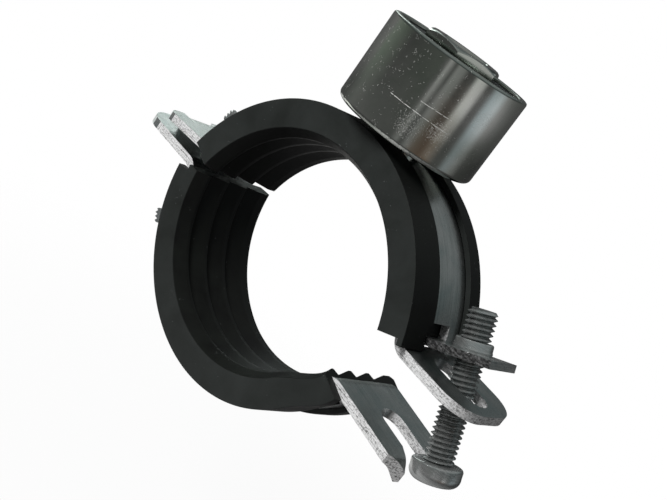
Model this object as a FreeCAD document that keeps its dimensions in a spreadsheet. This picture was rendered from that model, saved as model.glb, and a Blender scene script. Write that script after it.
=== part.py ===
# Rubber-lined pipe clamp in two hinged halves, with a round boss for a threaded rod.
# Millimetres. Every body is drawn about the clamp's own centre, and its placement puts
# the origin of the document at the mouth of the rod thread, with Z pointing up the rod.
import FreeCAD
import Part
import math
import os

Vec = FreeCAD.Vector
doc = FreeCAD.newDocument("pipe_clamp")

# The driving dimensions, each written once.
SIZES = {
    "BandWidth": 20.0,
    "BandThick": 2.0,
    "BendInner": 2.0,
    "LiningWidth": 24.0,
    "LiningDepth": 7.8,
    "LipThick": 1.3,
    "FrontLip": 8.6,
    "BackLip": 4.0,
    "LiningPlay": 0.05,
    "UpperOuter": 38.95,
    "UpperDrop": 2.95,
    "LowerOuter": 35.1,
    "LowerShift": 3.8,
    "LowerRise": 5.26,
    "FlangeTop": 10.25,
    "FlangeLong": 15.05,
    "FlangeCorner": 7.0,
    "SlotWidth": 6.8,
    "SlotLong": 13.8,
    "SlotEdge": 2.6,
    "WindowWidth": 8.6,
    "WindowDrop": 0.5,
    "WindowRise": 4.75,
    "HingeLong": 15.25,
    "HingeExtra": 6.4,
    "TongueWidth": 8.0,
    "TonguePlay": 0.35,
    "EyeHalf": 2.55,
    "TongueRelief": 0.6,
    "ForkSlot": 6.6,
    "ForkSlotInner": 35.4,
    "ForkMouth": 11.6,
    "ForkFoot": 31.8,
    "ForkDrop": 5.5,
    "ForkSlope": 5.5,
    "ForkBend": 46.9,
    "HingeUpper": 6.15,
    "HingeLower": 2.1,
    "HingeSlope": 3.8,
    "TongueLong": 6.7,
    "BossWide": 32.5,
    "NeckHigh": 2.6,
    "BossHigh": 20.1,
    "BossWall": 2.0,
    "NeckWide": 10.5,
    "NutFlats": 16.0,
    "NutProud": 1.5,
    "NutHigh": 10.0,
    "RodThread": 10.0,
    "ScrewWide": 6.0,
    "ScrewLength": 30.0,
    "ScrewAbove": 9.0,
    "ScrewPlay": 0.05,
    "HeadWide": 10.2,
    "HeadHigh": 4.0,
    "PlateThick": 1.6,
    "PlateWidth": 9.6,
    "PlateEnd": 15.8,
    "PlateHole": 8.5,
    "PlateTilt": 24.0,
    "PivotIn": 4.05,
    "PivotRise": 1.65,
    "CollarWide": 7.6,
    "CollarHigh": 2.2,
}

sheet = doc.addObject("Spreadsheet::Sheet", "Sizes")
for row, (name, value) in enumerate(SIZES.items(), start=1):
    sheet.set("A%d" % row, name)
    sheet.set("B%d" % row, str(value))
    sheet.setAlias("B%d" % row, name)
doc.recompute()


def size(name):
    return SIZES[name]


# Places that follow from the sizes, so that the boss, slot, window, hinge and closure stay
# with the shell when its own size changes.


def flange_end():
    return size("UpperOuter") + size("FlangeLong")


def hinge_end():
    return size("UpperOuter") + size("HingeLong")


def boss_crown():
    return size("UpperOuter") - size("UpperDrop") - size("LipThick")


def boss_base():
    return boss_crown() + size("NeckHigh")


def boss_top():
    return boss_base() + size("BossHigh")


def plate_pivot():
    return (size("UpperOuter") - size("PivotIn"), size("FlangeTop") + size("PivotRise"))


# The origin of the document: the mouth of the rod thread, above the clamp's centre.
MOUTH = boss_top() + size("NutProud")


def new_body(name, at=(0.0, 0.0, 0.0), turn_about_y=0.0):
    body = doc.addObject("PartDesign::Body", name)
    body.Label = name
    spin = FreeCAD.Rotation(Vec(0, 1, 0), turn_about_y)
    body.Placement = FreeCAD.Placement(Vec(at[0], at[1], at[2] - MOUTH), spin)
    return body


def origin_plane(body, role):
    return [f for f in body.Origin.OriginFeatures if f.Role == role][0]


def new_sketch(body, name, role, pieces):
    sketch = body.newObject("Sketcher::SketchObject", name)
    sketch.AttachmentSupport = [(origin_plane(body, role), "")]
    sketch.MapMode = "FlatFace"
    sketch.addGeometry(pieces, False)
    return sketch


def line(a, b):
    return Part.LineSegment(Vec(a[0], a[1], 0), Vec(b[0], b[1], 0))


def loop(points):
    return [line(a, b) for a, b in zip(points, points[1:] + points[:1])]


def arc(centre, radius, start, end):
    circle = Part.Circle(Vec(centre[0], centre[1], 0), Vec(0, 0, 1), radius)
    return Part.ArcOfCircle(circle, min(start, end), max(start, end))


def pad(body, sketch, name, expression):
    feature = body.newObject("PartDesign::Pad", name)
    feature.Profile = sketch
    feature.Midplane = True
    feature.setExpression("Length", expression)
    return feature


def pocket_through(body, sketch, name):
    feature = body.newObject("PartDesign::Pocket", name)
    feature.Profile = sketch
    feature.Type = "ThroughAll"
    feature.Midplane = True
    return feature


def turned(body, sketch, name, angle=360.0):
    feature = body.newObject("PartDesign::Revolution", name)
    feature.Profile = sketch
    feature.ReferenceAxis = (sketch, ["V_Axis"])
    feature.Angle = angle
    return feature


# Folded strips. A strip is its middle line, made of straight and round stretches that
# meet tangentially, given a thickness.


def polar(centre, radius, angle):
    return (centre[0] + radius * math.cos(angle), centre[1] + radius * math.sin(angle))


def flange_bend(centre, middle, bend, point, slope):
    """Where the round part of a half shell folds out into a straight flange.

    slope is the flange's own direction. The bend's centre lies outside the round part.
    """
    along = (math.cos(slope), math.sin(slope))
    outward = (-along[1], along[0])
    up = 1.0 if point[1] > centre[1] else -1.0
    if outward[1] * up < 0:
        outward = (-outward[0], -outward[1])
    base = (point[0] + outward[0] * bend - centre[0], point[1] + outward[1] * bend - centre[1])
    reach = middle + bend
    half = base[0] * along[0] + base[1] * along[1]
    rest = base[0] ** 2 + base[1] ** 2 - reach ** 2
    root = math.sqrt(half * half - rest)
    shift = -half + root
    hub = (base[0] + shift * along[0] + centre[0], base[1] + shift * along[1] + centre[1])
    foot = (hub[0] - outward[0] * bend, hub[1] - outward[1] * bend)
    return hub, foot


def strip_sides(stretches, thick):
    """Both faces of a strip: each stretch is ("line", a, b) or ("arc", centre, radius, start, end)."""
    left, right = [], []
    for stretch in stretches:
        if stretch[0] == "line":
            a, b = stretch[1], stretch[2]
            run = math.hypot(b[0] - a[0], b[1] - a[1])
            nx, ny = -(b[1] - a[1]) / run * thick / 2, (b[0] - a[0]) / run * thick / 2
            left.append(line((a[0] + nx, a[1] + ny), (b[0] + nx, b[1] + ny)))
            right.append(line((a[0] - nx, a[1] - ny), (b[0] - nx, b[1] - ny)))
        else:
            centre, radius, start, end = stretch[1:]
            inward = thick / 2 if end > start else -thick / 2
            left.append(arc(centre, radius - inward, start, end))
            right.append(arc(centre, radius + inward, start, end))
    return left, right


def strip_ends(stretches, thick):
    first, last = stretches[0], stretches[-1]
    caps = []
    for a, b, at in ((first[1], first[2], first[1]), (last[1], last[2], last[2])):
        run = math.hypot(b[0] - a[0], b[1] - a[1])
        nx, ny = -(b[1] - a[1]) / run * thick / 2, (b[0] - a[0]) / run * thick / 2
        caps.append(line((at[0] + nx, at[1] + ny), (at[0] - nx, at[1] - ny)))
    return caps


def folded_strip(stretches, thick):
    left, right = strip_sides(stretches, thick)
    return left + right + strip_ends(stretches, thick)


def angle_of(centre, point):
    return math.atan2(point[1] - centre[1], point[0] - centre[0])


def turn_between(hub, start_point, end_point, clockwise):
    """Start and end angles of a bend about hub, in the sense of travel."""
    start = angle_of(hub, start_point)
    end = angle_of(hub, end_point)
    while clockwise and end > start:
        end -= 2 * math.pi
    while not clockwise and end < start:
        end += 2 * math.pi
    return start, end


# The upper half shell.


def upper_stretches():
    thick = size("BandThick")
    bend = size("BendInner") + thick / 2
    centre = (0.0, -size("UpperDrop"))
    middle = size("UpperOuter") - size("LipThick") - thick / 2
    flat = size("FlangeTop") - thick / 2
    right_hub, right_foot = flange_bend(centre, middle, bend, (flange_end(), flat), 0.0)
    slope = math.pi + math.radians(size("HingeSlope"))
    left_hub, left_foot = flange_bend(centre, middle, bend, (-hinge_end() + 3.2, size("HingeUpper")), slope)
    right_touch = polar(centre, middle, angle_of(centre, right_hub))
    left_touch = polar(centre, middle, angle_of(centre, left_hub))
    start, end = turn_between(right_hub, (right_foot[0], right_foot[1]), right_touch, True)
    stretches = [("line", (flange_end(), flat), right_foot)]
    stretches.append(("arc", right_hub, bend, start, end))
    stretches.append(("arc", centre, middle, angle_of(centre, right_hub), angle_of(centre, left_hub)))
    start, end = turn_between(left_hub, left_touch, left_foot, True)
    stretches.append(("arc", left_hub, bend, start, end))
    end = -hinge_end()
    stretches.append(("line", left_foot, (end, hinge_flange_height(left_foot, slope, end))))
    return stretches


def hinge_flange_height(foot, slope, x):
    return foot[1] + (x - foot[0]) * math.tan(slope)


def tongue_stretches():
    """The tongue is lanced from the middle of the hinge flange and folded down through the eye."""
    thick = size("BandThick")
    fold = 1.0 + thick / 2
    slope = math.pi + math.radians(size("HingeSlope"))
    foot = upper_stretches()[-1][1]
    inner = -(hinge_end() - size("TongueLong"))
    start = (inner, hinge_flange_height(foot, slope, inner))
    bend_x = -(hinge_end() - fold - thick / 2)
    out = (bend_x, hinge_flange_height(foot, slope, bend_x))
    stretches = [("line", start, out)]
    fold_hub = polar(out, fold, slope + math.pi / 2)
    begin = slope - math.pi / 2
    finish = begin + math.pi * 1.5 - slope
    stretches.append(("arc", fold_hub, fold, begin, finish))
    drop = polar(fold_hub, fold, finish)
    heel_height = size("HingeLower") - 1.3
    stretches.append(("line", drop, (drop[0], heel_height)))
    lip_hub = (drop[0] - 2.0, heel_height)
    stretches.append(("arc", lip_hub, 2.0, 0.0, -0.45))
    heel = polar(lip_hub, 2.0, -0.45)
    stretches.append(("line", heel, polar(heel, 0.9, -math.pi / 2 - 0.45)))
    return stretches


def rounded_end(width, corner, end, side):
    """The outline that is cut away past a flange's rounded end, seen from above."""
    half = width / 2
    x = end - side * corner
    y = half - corner
    far = end + side * 6.0
    wide = half + 4.0
    a0, a1 = (0.0, math.pi / 2) if side > 0 else (math.pi / 2, math.pi)
    b0, b1 = (-math.pi / 2, 0.0) if side > 0 else (math.pi, math.pi * 1.5)
    pieces = [arc((x, y), corner, a0, a1), arc((x, -y), corner, b0, b1)]
    pieces.append(line((end, y), (end, -y)))
    pieces.append(line((x, half), (x, wide)))
    pieces.append(line((x, wide), (far, wide)))
    pieces.append(line((far, wide), (far, -wide)))
    pieces.append(line((far, -wide), (x, -wide)))
    pieces.append(line((x, -wide), (x, -half)))
    return pieces


def long_slot(inner, outer, width):
    r = width / 2
    a, b = inner + r, outer - r
    pieces = [arc((a, 0.0), r, math.pi / 2, math.pi * 1.5)]
    pieces.append(arc((b, 0.0), r, -math.pi / 2, math.pi / 2))
    pieces.append(line((a, r), (b, r)))
    pieces.append(line((a, -r), (b, -r)))
    return pieces


def box_loop(x0, x1, y0, y1):
    return loop([(x0, y0), (x1, y0), (x1, y1), (x0, y1)])


def make_upper_band():
    body = new_body("upper_band")
    profile = folded_strip(upper_stretches(), size("BandThick"))
    sketch = new_sketch(body, "upper_band_fold", "XZ_Plane", profile)
    pad(body, sketch, "upper_band_strip", "Sizes.BandWidth")
    end = rounded_end(size("BandWidth"), size("FlangeCorner"), flange_end(), 1)
    pocket_through(body, new_sketch(body, "upper_end", "XY_Plane", end), "upper_rounded_end")
    far = flange_end() - size("SlotEdge")
    slot = long_slot(far - size("SlotLong"), far, size("SlotWidth"))
    pocket_through(body, new_sketch(body, "screw_slot", "XY_Plane", slot), "upper_screw_slot")
    corners = rounded_end(size("BandWidth"), 3.5, -hinge_end(), -1)
    sketch = new_sketch(body, "hinge_end", "XY_Plane", corners)
    pocket_through(body, sketch, "upper_hinge_end")
    relief = size("TongueWidth") / 2 + size("TongueRelief")
    notch = box_loop(-hinge_end() - 2.0, -hinge_end() + 4.4, -relief, relief)
    pocket_through(body, new_sketch(body, "tongue_notch", "XY_Plane", notch), "upper_tongue_notch")
    tongue = folded_strip(tongue_stretches(), size("BandThick"))
    sketch = new_sketch(body, "tongue_fold", "XZ_Plane", tongue)
    pad(body, sketch, "upper_tongue", "Sizes.TongueWidth")
    wide = size("WindowWidth") / 2
    low = size("FlangeTop") - size("WindowDrop")
    window = box_loop(-wide, wide, low, size("FlangeTop") + size("WindowRise"))
    sketch = new_sketch(body, "plate_window", "YZ_Plane", window)
    feature = body.newObject("PartDesign::Pocket", "upper_plate_window")
    feature.Profile = sketch
    feature.Type = "Length"
    feature.Length = size("UpperOuter") - size("LipThick")
    feature.Reversed = True
    body.Tip = feature
    return body


# The lower half shell.


def lower_stretches():
    thick = size("BandThick")
    bend = size("BendInner") + thick / 2
    centre = (-size("LowerShift"), size("LowerRise"))
    middle = size("LowerOuter") - size("LipThick") - thick / 2
    slope = -math.radians(size("ForkSlope"))
    fork_point = (size("ForkFoot"), -size("ForkDrop"))
    right_hub, right_foot = flange_bend(centre, middle, bend, fork_point, slope)
    left_hub, left_foot = flange_bend(centre, middle, bend, (-hinge_end(), size("HingeLower")), math.pi)
    right_touch = polar(centre, middle, angle_of(centre, right_hub))
    left_touch = polar(centre, middle, angle_of(centre, left_hub))
    end = -(hinge_end() + size("HingeExtra"))
    stretches = [("line", (end, size("HingeLower")), left_foot)]
    start, end = turn_between(left_hub, left_foot, left_touch, True)
    stretches.append(("arc", left_hub, bend, start, end))
    sweep_start = angle_of(centre, left_hub)
    sweep_end = angle_of(centre, right_hub)
    while sweep_end < sweep_start:
        sweep_end += 2 * math.pi
    stretches.append(("arc", centre, middle, sweep_start, sweep_end))
    start, end = turn_between(right_hub, right_touch, right_foot, True)
    stretches.append(("arc", right_hub, bend, start, end))
    reach = size("ForkBend")
    tip_start = (reach, right_foot[1] + (reach - right_foot[0]) * math.tan(slope))
    stretches.append(("line", right_foot, tip_start))
    fold = 3.0
    fold_hub = polar(tip_start, fold, slope - math.pi / 2)
    begin = slope + math.pi / 2
    drop = math.radians(48.0)
    stretches.append(("arc", fold_hub, fold, begin, begin - drop))
    heel = polar(fold_hub, fold, begin - drop)
    stretches.append(("line", heel, polar(heel, 2.2, slope - drop)))
    return stretches


def fork_slot():
    r = size("ForkSlot") / 2
    a = size("ForkSlotInner") + r
    mouth = size("ForkMouth") / 2
    pieces = [arc((a, 0.0), r, math.pi / 2, math.pi * 1.5)]
    near, wide, past = (size("ForkBend") + step for step in (-1.9, 2.7, 9.0))
    for side in (1, -1):
        pieces.append(line((a, r * side), (near, r * side)))
        pieces.append(line((near, r * side), (wide, mouth * side)))
        pieces.append(line((wide, mouth * side), (past, mouth * side)))
    pieces.append(line((past, mouth), (past, -mouth)))
    return pieces


def make_lower_band():
    body = new_body("lower_band")
    profile = folded_strip(lower_stretches(), size("BandThick"))
    sketch = new_sketch(body, "lower_band_fold", "XZ_Plane", profile)
    pad(body, sketch, "lower_band_strip", "Sizes.BandWidth")
    end = rounded_end(size("BandWidth"), size("FlangeCorner"), -(hinge_end() + size("HingeExtra")), -1)
    pocket_through(body, new_sketch(body, "lower_end", "XY_Plane", end), "lower_rounded_end")
    pocket_through(body, new_sketch(body, "fork_slot", "XY_Plane", fork_slot()), "lower_fork_slot")
    wide = size("TongueWidth") / 2 + size("TonguePlay")
    middle = -(hinge_end() - size("BandThick") / 2)
    eye = box_loop(middle - size("EyeHalf"), middle + size("EyeHalf"), -wide, wide)
    hole = pocket_through(body, new_sketch(body, "hinge_eye", "XY_Plane", eye), "lower_hinge_eye")
    body.Tip = hole
    return body


# The rubber linings. A lining is one section turned about the centre of its half shell.
# Its lips stop short of the flanges, its side walls run on, and its inner part runs to the end.


def ribbed_inside(bore):
    half = size("LiningWidth") / 2
    deep = bore + 1.35
    points = [(bore + 1.5, -half)]
    points += [(bore, -half + 2.9), (bore, -half + 3.6), (deep, -half + 4.4)]
    points += [(bore, -3.6), (bore, -2.6), (deep, -1.7)]
    points += [(bore, 2.4), (bore, 3.4), (deep, 4.3)]
    points += [(bore, 8.6), (bore, half - 1.2), (bore + 0.8, half)]
    return points


def lining_section(outer, part):
    half = size("LiningWidth") / 2
    play = size("LiningPlay")
    seat_outer = outer - size("LipThick") + play
    seat_inner = outer - size("LipThick") - size("BandThick") - play
    wall = size("BandWidth") / 2 + play
    points = ribbed_inside(outer - size("LiningDepth"))
    if part == "inner":
        points += [(seat_inner, half), (seat_inner, -half)]
    else:
        points += [(outer, half)]
        if part == "whole":
            points += [(outer, half - size("BackLip")), (seat_outer, half - size("BackLip"))]
            points += [(seat_outer, wall)]
        else:
            points += [(outer, wall)]
        points += [(seat_inner, wall), (seat_inner, -wall)]
        if part == "whole":
            points += [(seat_outer, -wall), (seat_outer, size("FrontLip") - half)]
            points += [(outer, size("FrontLip") - half)]
        else:
            points += [(outer, -wall)]
        points += [(outer, -half)]
    return loop(points)


def turned_part(body, name, outer, part, start, end):
    """Adds the stretch of a lining from start to end, in degrees from the screw side."""
    sketch = new_sketch(body, name + "_section", "XY_Plane", lining_section(outer, part))
    # The sketch is turned about the body's Y axis to the angle where its stretch begins.
    spin = FreeCAD.Rotation(Vec(0, 1, 0), -start)
    sketch.AttachmentOffset = FreeCAD.Placement(Vec(0, 0, 0), spin)
    feature = turned(body, sketch, name, end - start)
    feature.Reversed = True
    return feature


def make_upper_lining():
    body = new_body("upper_lining", (0.0, 0.0, -size("UpperDrop")))
    outer = size("UpperOuter")
    turned_part(body, "upper_lips", outer, "whole", 27.5, 160.0)
    turned_part(body, "upper_walls", outer, "walls", 22.2, 28.5)
    turned_part(body, "upper_wall_hinge", outer, "walls", 159.5, 164.0)
    turned_part(body, "upper_inside", outer, "inner", 163.0, 165.6)
    # The front lip is cut out round the neck of the boss.
    r = size("NeckWide") / 2 + 0.35
    ring = [Part.Circle(Vec(0, 0, 0), Vec(0, 0, 1), r)]
    sketch = new_sketch(body, "neck_ring", "XY_Plane", ring)
    sketch.AttachmentOffset = FreeCAD.Placement(Vec(0, 0, outer + 2.0), FreeCAD.Rotation())
    cut = body.newObject("PartDesign::Pocket", "upper_neck_cut")
    cut.Profile = sketch
    cut.Type = "Length"
    cut.Length = 2.0 + size("LipThick") + 0.3
    body.Tip = cut
    return body


def make_lower_lining():
    body = new_body("lower_lining", (-size("LowerShift"), 0.0, size("LowerRise")))
    outer = size("LowerOuter")
    turned_part(body, "lower_lips", outer, "whole", 195.0, 334.0)
    turned_part(body, "lower_walls", outer, "walls", 333.0, 346.0)
    turned_part(body, "lower_wall_hinge", outer, "walls", 186.5, 196.0)
    last = turned_part(body, "lower_inside", outer, "inner", 185.0, 187.5)
    body.Tip = last
    return body


# The boss: a steel cup on a welded neck, with a rubber ring that holds the rod's nut.


def make_boss_cup():
    body = new_body("boss_cup")
    r = size("BossWide") / 2
    wall = size("BossWall")
    low = boss_base()
    top = boss_top()
    neck = size("NeckWide") / 2
    crown = boss_crown()
    edge = 1.2
    pieces = [line((0.0, crown), (neck, crown)), line((neck, crown), (neck, low))]
    pieces.append(line((neck, low), (r - edge, low)))
    pieces.append(arc((r - edge, low + edge), edge, -math.pi / 2, 0.0))
    pieces.append(line((r, low + edge), (r, top - 0.5)))
    pieces.append(line((r, top - 0.5), (r - 0.5, top)))
    pieces.append(line((r - 0.5, top), (r - wall, top)))
    pieces.append(line((r - wall, top), (r - wall, low + wall)))
    pieces.append(line((r - wall, low + wall), (0.0, low + wall)))
    pieces.append(line((0.0, low + wall), (0.0, crown)))
    sketch = new_sketch(body, "boss_cup_section", "XZ_Plane", pieces)
    body.Tip = turned(body, sketch, "boss_cup_turned")
    return body


def hexagon(flats):
    corner = flats / math.sqrt(3.0)
    return [polar((0.0, 0.0), corner, math.radians(60.0 * k)) for k in range(6)]


def make_boss_damper():
    body = new_body("boss_damper")
    r = size("BossWide") / 2 - size("BossWall")
    low = boss_base() + size("BossWall")
    high = boss_top() - 0.8
    hole = size("NutFlats") / 2 - 1.0
    step = boss_top() + size("NutProud") - size("NutHigh")
    block = loop([(hole, low), (r, low), (r, high), (hole, high)])
    sketch = new_sketch(body, "damper_section", "XZ_Plane", block)
    turned(body, sketch, "damper_ring")
    seat = new_sketch(body, "damper_seat", "XY_Plane", loop(hexagon(size("NutFlats"))))
    seat.AttachmentOffset = FreeCAD.Placement(Vec(0, 0, step), FreeCAD.Rotation())
    feature = body.newObject("PartDesign::Pocket", "damper_hex_seat")
    feature.Profile = seat
    feature.Type = "Length"
    feature.Length = 20.0
    feature.Reversed = True
    body.Tip = feature
    return body


def make_boss_nut():
    body = new_body("boss_nut")
    top = boss_top() + size("NutProud")
    low = top - size("NutHigh")
    sketch = new_sketch(body, "nut_hexagon", "XY_Plane", loop(hexagon(size("NutFlats"))))
    sketch.AttachmentOffset = FreeCAD.Placement(Vec(0, 0, low), FreeCAD.Rotation())
    block = body.newObject("PartDesign::Pad", "nut_block")
    block.Profile = sketch
    block.setExpression("Length", "Sizes.NutHigh")
    corner = size("NutFlats") / math.sqrt(3.0)
    flat = size("NutFlats") / 2 * 0.97
    fall = (corner - flat) * math.tan(math.radians(30.0))
    ring = [(flat, top), (corner + 1.0, top), (corner + 1.0, top - fall - 0.577)]
    section = new_sketch(body, "nut_chamfer_section", "XZ_Plane", loop(ring))
    chamfer = body.newObject("PartDesign::Groove", "nut_chamfer")
    chamfer.Profile = section
    chamfer.ReferenceAxis = (section, ["V_Axis"])
    chamfer.Angle = 360.0
    thread = size("RodThread") / 2
    bore = [(0.0, low - 1.0), (thread, low - 1.0), (thread, top + 1.0), (0.0, top + 1.0)]
    hollow = new_sketch(body, "nut_bore_section", "XZ_Plane", loop(bore))
    hole = body.newObject("PartDesign::Groove", "nut_bore")
    hole.Profile = hollow
    hole.ReferenceAxis = (hollow, ["V_Axis"])
    hole.Angle = 360.0
    body.Tip = hole
    return body


# The closure: a nut plate hooked in the window and the screw it holds. Both are drawn
# flat, with their origin at the hook, and tilted as the screw hangs.


def closure_body(name):
    out, up = plate_pivot()
    return new_body(name, (out, 0.0, up), -size("PlateTilt"))


def make_nut_plate():
    body = closure_body("nut_plate")
    half = size("PlateWidth") / 2
    tab = 3.6
    outline = [(-1.3, -tab), (1.9, -tab), (1.9, -half), (size("PlateEnd"), -half)]
    outline += [(size("PlateEnd"), half), (1.9, half), (1.9, tab), (-1.3, tab)]
    sketch = new_sketch(body, "plate_outline", "XY_Plane", loop(outline))
    pad(body, sketch, "plate_sheet", "Sizes.PlateThick")
    collar = [Part.Circle(Vec(size("PlateHole"), 0, 0), Vec(0, 0, 1), size("CollarWide") / 2)]
    ring = new_sketch(body, "collar_ring", "XY_Plane", collar)
    stand = body.newObject("PartDesign::Pad", "plate_collar")
    stand.Profile = ring
    stand.setExpression("Length", "Sizes.CollarHigh + Sizes.PlateThick / 2")
    wall = size("ScrewWide") / 2 + size("ScrewPlay")
    circle = [Part.Circle(Vec(size("PlateHole"), 0, 0), Vec(0, 0, 1), wall)]
    hole = pocket_through(body, new_sketch(body, "plate_thread", "XY_Plane", circle), "plate_screw_hole")
    body.Tip = hole
    return body


def make_clamp_screw():
    body = closure_body("clamp_screw")
    reach = size("ScrewAbove") - size("ScrewLength")
    r = size("ScrewWide") / 2
    head = size("HeadWide") / 2
    low = reach - size("HeadHigh")
    end = size("ScrewAbove")
    edge = 1.6
    pieces = [line((0.0, low), (head - edge, low))]
    pieces.append(arc((head - edge, low + edge), edge, -math.pi / 2, 0.0))
    pieces.append(line((head, low + edge), (head, reach - 0.4)))
    pieces.append(line((head, reach - 0.4), (head - 0.4, reach)))
    pieces.append(line((head - 0.4, reach), (r, reach)))
    pieces.append(line((r, reach), (r, end - 0.7)))
    pieces.append(line((r, end - 0.7), (r - 0.7, end)))
    pieces.append(line((r - 0.7, end), (0.0, end)))
    pieces.append(line((0.0, end), (0.0, low)))
    sketch = new_sketch(body, "screw_section", "XZ_Plane", pieces)
    sketch.AttachmentOffset = FreeCAD.Placement(Vec(size("PlateHole"), 0, 0), FreeCAD.Rotation())
    shank = turned(body, sketch, "screw_turned")
    # A cross recess in the head.
    arm, blade = 2.6, 0.6
    pts = [(arm, blade), (blade, blade), (blade, arm), (-blade, arm), (-blade, blade), (-arm, blade)]
    pts += [(-arm, -blade), (-blade, -blade), (-blade, -arm), (blade, -arm), (blade, -blade), (arm, -blade)]
    cross = [(x + size("PlateHole"), y) for x, y in pts]
    recess = new_sketch(body, "screw_recess", "XY_Plane", loop(cross))
    recess.AttachmentOffset = FreeCAD.Placement(Vec(0, 0, low), FreeCAD.Rotation())
    cut = body.newObject("PartDesign::Pocket", "screw_cross")
    cut.Profile = recess
    cut.Type = "Length"
    cut.Length = 2.4
    cut.Reversed = True
    body.Tip = cut
    return body


MAKERS = [
    make_upper_band,
    make_lower_band,
    make_upper_lining,
    make_lower_lining,
    make_boss_cup,
    make_boss_damper,
    make_boss_nut,
    make_nut_plate,
    make_clamp_screw,
]

bodies = [maker() for maker in MAKERS]
doc.recompute()

faults = [o.Name for o in doc.Objects if "Invalid" in o.State or "Error" in o.State]
if faults:
    raise RuntimeError("objects that didn't compute: " + ", ".join(faults))

os.makedirs("parts", exist_ok=True)
for body in bodies:
    shape = body.Shape
    if shape.isNull() or not shape.isValid() or len(shape.Solids) != 1:
        raise RuntimeError("%s is not one valid solid: %d" % (body.Label, len(shape.Solids)))
    shape.exportStep("parts/%s.step" % body.Label)
    box = shape.BoundBox
    print("%-14s volume %9.1f  x %.1f..%.1f  y %.1f..%.1f  z %.1f..%.1f" % (
        body.Label, shape.Volume, box.XMin, box.XMax, box.YMin, box.YMax, box.ZMin, box.ZMax))
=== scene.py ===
# %% [markdown]
# # A rubber-lined pipe clamp, dressed in Blender
# The clamp comes in as a finished frame of solids from CAD: two folded steel half shells
# with rubber linings, a round boss with a nut, and a screw in a small nut plate. This
# lesson gives each piece its finish, and models what CAD left plain, such as threads.

# %% Load the frame
import bpy
import math
from mathutils import Matrix, Vector


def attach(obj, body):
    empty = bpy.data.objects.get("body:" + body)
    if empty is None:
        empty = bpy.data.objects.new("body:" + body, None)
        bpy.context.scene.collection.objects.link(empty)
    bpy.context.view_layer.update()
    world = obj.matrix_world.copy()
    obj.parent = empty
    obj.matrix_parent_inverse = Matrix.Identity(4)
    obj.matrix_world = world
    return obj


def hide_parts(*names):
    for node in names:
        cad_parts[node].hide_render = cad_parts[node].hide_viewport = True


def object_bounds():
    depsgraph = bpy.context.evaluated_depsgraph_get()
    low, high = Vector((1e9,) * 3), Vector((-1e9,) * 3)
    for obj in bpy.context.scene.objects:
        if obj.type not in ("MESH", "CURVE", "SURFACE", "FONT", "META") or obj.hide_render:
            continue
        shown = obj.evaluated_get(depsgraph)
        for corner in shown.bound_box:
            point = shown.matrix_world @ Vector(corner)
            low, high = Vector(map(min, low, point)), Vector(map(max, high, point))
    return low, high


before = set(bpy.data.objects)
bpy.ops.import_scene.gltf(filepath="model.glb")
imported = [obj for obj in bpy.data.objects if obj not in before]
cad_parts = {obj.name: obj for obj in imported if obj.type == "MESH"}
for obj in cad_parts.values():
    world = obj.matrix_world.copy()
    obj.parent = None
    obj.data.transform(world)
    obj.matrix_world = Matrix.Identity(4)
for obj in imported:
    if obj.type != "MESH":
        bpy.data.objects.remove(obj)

cad_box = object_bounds()
MM = 0.001
print("nodes:", sorted(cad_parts))

# %% [markdown]
# ## The camera
# The photograph looks down on the clamp from the front right, and the camera is rolled by
# about 36 degrees, so that the boss leans to the upper right. A camera is a place and
# three directions. Lines and circles of the clamp that show in the picture give both, and
# the numbers below are that fit.

# %% Camera
camera_place = Vector((0.127452, -0.169209, 0.010472))
camera_right = Vector((0.556162, 0.610642, 0.563738))
camera_down = Vector((0.602944, 0.170365, -0.779381))
camera_forward = Vector((-0.571964, 0.773364, -0.273432))
camera_turn = Matrix((camera_right, -camera_down, -camera_forward)).transposed().to_4x4()
camera_data = bpy.data.cameras.new("studio_camera")
camera_data.sensor_width = 36.0
camera_data.lens = 55.89
camera_data.clip_start = 0.01
camera = bpy.data.objects.new("studio_camera", camera_data)
bpy.context.scene.collection.objects.link(camera)
camera.matrix_world = Matrix.Translation(camera_place) @ camera_turn
bpy.context.scene.camera = camera
print("camera at", tuple(round(v, 3) for v in camera_place))

# %% [markdown]
# ## The studio
# A small steel part is photographed on white. Rubber and sheared edges only need soft
# light, but bright steel is a mirror and shows the room. In the photograph the boss shows
# a rather dark room with a few pale upright stripes, such as windows and a lamp. So the
# room has one plain grey for the soft light. For mirrors it has two rings of stripes, at
# the horizon and just below it, a paler ceiling, one bright window pane and pale paper low
# down. The camera and glass see the room as plain white.

# %% Node helpers
def link(tree, source, target):
    tree.links.new(source, target)


def feed(tree, value, socket):
    """Sets a socket to a number, a vector or a colour, or links it to a node's output."""
    if isinstance(value, (int, float)):
        socket.default_value = value
    elif isinstance(value, tuple):
        socket.default_value = (*value, 1.0) if socket.type == "RGBA" else value
    else:
        link(tree, value, socket)


def math_node(tree, operation, *values):
    node = tree.nodes.new("ShaderNodeMath")
    node.operation = operation
    for value, socket in zip(values, node.inputs):
        feed(tree, value, socket)
    return node.outputs[0]


def ramp_node(tree, factor, stops, interpolation="LINEAR"):
    """A colour ramp from (place, colour) stops, where a colour may be one number for grey."""
    node = tree.nodes.new("ShaderNodeValToRGB")
    node.color_ramp.interpolation = interpolation
    elements = node.color_ramp.elements
    elements.remove(elements[1])
    for index, (place, colour) in enumerate(stops):
        element = elements[0] if index == 0 else elements.new(place)
        element.position = place
        rgb = (colour, colour, colour) if isinstance(colour, (int, float)) else colour
        element.color = (*rgb, 1.0)
    link(tree, factor, node.inputs[0])
    return node.outputs[0]


def mix_node(tree, factor, a, b):
    """Mixes two colours; a or b may be a plain colour."""
    node = tree.nodes.new("ShaderNodeMix")
    node.data_type = "RGBA"
    for value, index in ((factor, 0), (a, 6), (b, 7)):
        feed(tree, value, node.inputs[index])
    return node.outputs[2]


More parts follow.
